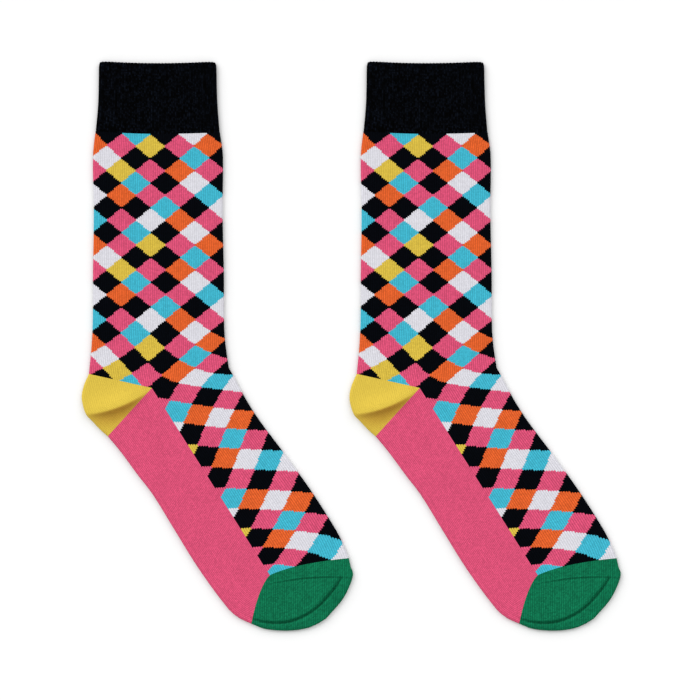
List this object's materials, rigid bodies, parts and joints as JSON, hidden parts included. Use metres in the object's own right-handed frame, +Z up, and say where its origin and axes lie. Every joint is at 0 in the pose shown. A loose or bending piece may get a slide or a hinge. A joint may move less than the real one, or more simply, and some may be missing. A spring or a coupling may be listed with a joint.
{
  "type": "pair of crew socks",
  "caption": "Knitted crew socks laid flat side by side, with ribbed cuffs, a patterned leg and instep, and plain heel, sole and toe.",
  "frame": {"origin": "centre of the underside of the box round both socks, on the surface they lie on", "axes": "+Y from the toes towards the cuffs, +X from the heels towards the toes' side, +Z up off the surface"},
  "size_m": [0.3774, 0.3986, 0.0043],
  "materials": {
    "black_rib": "matt rib knit",
    "patterned_knit": "matt fine jersey knit with a coloured pattern",
    "yellow_knit": "matt fine jersey knit",
    "pink_knit": "matt fine jersey knit",
    "green_knit": "matt fine jersey knit"
  },
  "bodies": {
    "root": {"left_cuff": "black_rib", "left_leg_and_instep": "patterned_knit", "left_heel": "yellow_knit", "left_sole": "pink_knit", "left_toe": "green_knit", "right_cuff": "black_rib", "right_leg_and_instep": "patterned_knit", "right_heel": "yellow_knit", "right_sole": "pink_knit", "right_toe": "green_knit"}
  },
  "joints": []
}
